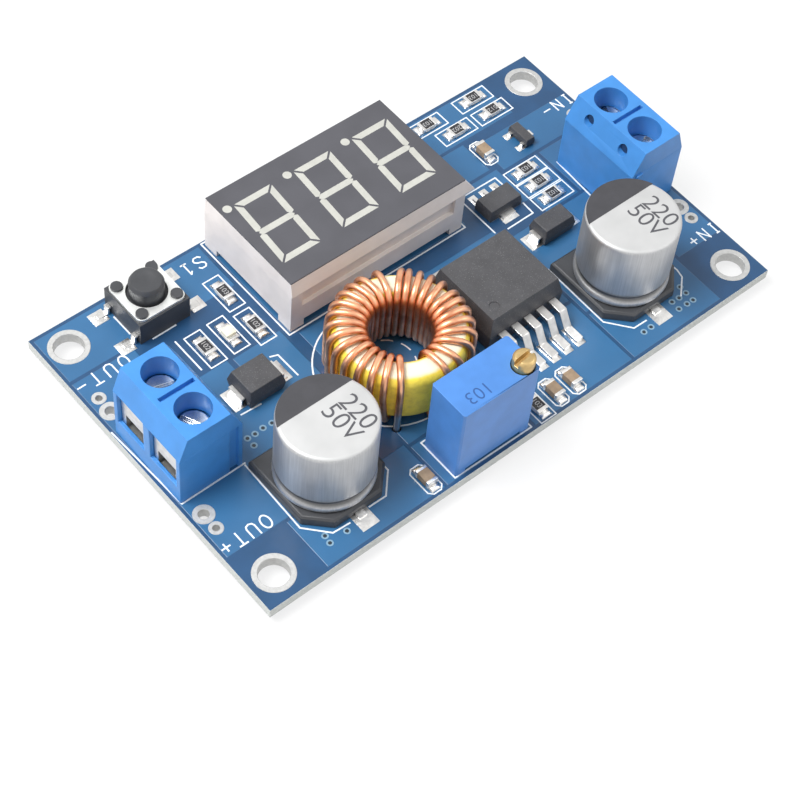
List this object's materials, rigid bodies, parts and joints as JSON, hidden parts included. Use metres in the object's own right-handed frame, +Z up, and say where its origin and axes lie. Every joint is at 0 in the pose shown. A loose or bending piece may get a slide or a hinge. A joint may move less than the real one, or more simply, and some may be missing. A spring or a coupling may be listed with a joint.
{
  "type": "buck converter module",
  "caption": "Step-down DC converter board with screw terminals at both ends, a wound toroid, electrolytic capacitors, a segment voltage display, an adjusting screw and a push button.",
  "frame": {"origin": "centre of the rectangle of four fixing holes, on the board's underside", "axes": "+X along the board from the output terminal to the input terminal, +Y across the board to the edge with the display, +Z up from the board to its components"},
  "size_m": [0.066, 0.0384, 0.0136],
  "materials": {
    "solder_mask": "gloss",
    "tinned": "satin",
    "steel": "satin",
    "brass": "satin",
    "aluminium_can": "satin",
    "terminal_blue": "satin",
    "trimmer_blue": "satin",
    "black_plastic": "satin",
    "epoxy": "satin",
    "display_case": "satin",
    "display_film": "matte",
    "segment_resin": "satin",
    "ferrite": "painted",
    "copper": "enamelled",
    "resistor_body": "satin",
    "ceramic_chip": "satin",
    "lamp_resin": "gloss"
  },
  "bodies": {
    "board": {"circuit_board": "solder_mask", "hole_plating": "tinned", "solder_joints": "tinned", "display_shell": "display_case", "display_face": "display_film", "display_segments": "segment_resin", "display_pins": "tinned", "meter_chip": "epoxy", "inductor_core": "ferrite", "inductor_winding": "copper", "output_capacitor_base": "black_plastic", "input_capacitor_base": "black_plastic", "output_capacitor_can": "aluminium_can", "input_capacitor_can": "aluminium_can", "capacitor_leads": "tinned", "regulator_body": "epoxy", "regulator_leads": "tinned", "trimmer_housing": "trimmer_blue", "trimmer_pins": "tinned", "button_base": "black_plastic", "button_cover": "steel", "button_dome": "steel", "button_leads": "tinned", "output_diode_body": "epoxy", "input_diode_body": "epoxy", "output_diode_leads": "tinned", "input_diode_leads": "tinned", "supply_regulator_body": "epoxy", "supply_regulator_leads": "tinned", "transistor_body": "epoxy", "transistor_leads": "tinned", "ceramic_capacitors": "ceramic_chip", "indicator_lamp": "lamp_resin", "chip_resistor_01": "resistor_body", "chip_resistor_02": "resistor_body", "chip_resistor_03": "resistor_body", "chip_resistor_04": "resistor_body", "chip_resistor_05": "resistor_body", "chip_resistor_06": "resistor_body", "chip_resistor_07": "resistor_body", "chip_resistor_08": "resistor_body", "chip_resistor_09": "resistor_body", "chip_resistor_10": "resistor_body", "chip_resistor_11": "resistor_body", "output_terminal_base": "terminal_blue", "output_terminal_lid": "terminal_blue", "output_terminal_cages": "tinned", "input_terminal_base": "terminal_blue", "input_terminal_lid": "terminal_blue", "input_terminal_cages": "tinned"},
    "trimmer_adjuster": {"trimmer_screw": "brass"},
    "button": {"button_plunger": "black_plastic"},
    "output_positive_clamp": {"output_positive_clamp_plate": "tinned"},
    "output_positive_clamp_screw": {"output_positive_screw": "steel"},
    "output_negative_clamp": {"output_negative_clamp_plate": "tinned"},
    "output_negative_clamp_screw": {"output_negative_screw": "steel"},
    "input_positive_clamp": {"input_positive_clamp_plate": "tinned"},
    "input_positive_clamp_screw": {"input_positive_screw": "steel"},
    "input_negative_clamp": {"input_negative_clamp_plate": "tinned"},
    "input_negative_clamp_screw": {"input_negative_screw": "steel"}
  },
  "joints": [
    {"name": "trimmer_turn", "type": "hinge", "parent": "board", "child": "trimmer_adjuster", "pos_m": [-0.0017, -0.01735, 0.0122], "axis": [0, 0, 1], "continuous": true},
    {"name": "button_press", "type": "slide", "parent": "board", "child": "button", "axis": [0, 0, -1], "range_m": [0, 0.00025], "stiffness_N_per_m": 4000, "deforming": ["button_dome"]},
    {"name": "output_positive_plate_lift", "type": "slide", "parent": "board", "child": "output_positive_clamp", "axis": [0, 0, 1], "range_m": [0, 0.0018]},
    {"name": "output_positive_screw_turn", "type": "hinge", "parent": "output_positive_clamp", "child": "output_positive_clamp_screw", "pos_m": [-0.0289, -0.00239, 0.006], "axis": [0, 0, 1], "range_deg": [0, 1296]},
    {"name": "output_negative_plate_lift", "type": "slide", "parent": "board", "child": "output_negative_clamp", "axis": [0, 0, 1], "range_m": [0, 0.0018]},
    {"name": "output_negative_screw_turn", "type": "hinge", "parent": "output_negative_clamp", "child": "output_negative_clamp_screw", "pos_m": [-0.0289, 0.00269, 0.006], "axis": [0, 0, 1], "range_deg": [0, 1296]},
    {"name": "input_positive_plate_lift", "type": "slide", "parent": "board", "child": "input_positive_clamp", "axis": [0, 0, 1], "range_m": [0, 0.0018]},
    {"name": "input_positive_screw_turn", "type": "hinge", "parent": "input_positive_clamp", "child": "input_positive_clamp_screw", "pos_m": [0.0289, -0.00239, 0.006], "axis": [0, 0, 1], "range_deg": [0, 1296]},
    {"name": "input_negative_plate_lift", "type": "slide", "parent": "board", "child": "input_negative_clamp", "axis": [0, 0, 1], "range_m": [0, 0.0018]},
    {"name": "input_negative_screw_turn", "type": "hinge", "parent": "input_negative_clamp", "child": "input_negative_clamp_screw", "pos_m": [0.0289, 0.00269, 0.006], "axis": [0, 0, 1], "range_deg": [0, 1296]}
  ],
  "couplings": [
    {"joint": "output_positive_screw_turn", "follows": "output_positive_plate_lift", "rad_per_m": 12566},
    {"joint": "output_negative_screw_turn", "follows": "output_negative_plate_lift", "rad_per_m": 12566},
    {"joint": "input_positive_screw_turn", "follows": "input_positive_plate_lift", "rad_per_m": 12566},
    {"joint": "input_negative_screw_turn", "follows": "input_negative_plate_lift", "rad_per_m": 12566}
  ]
}
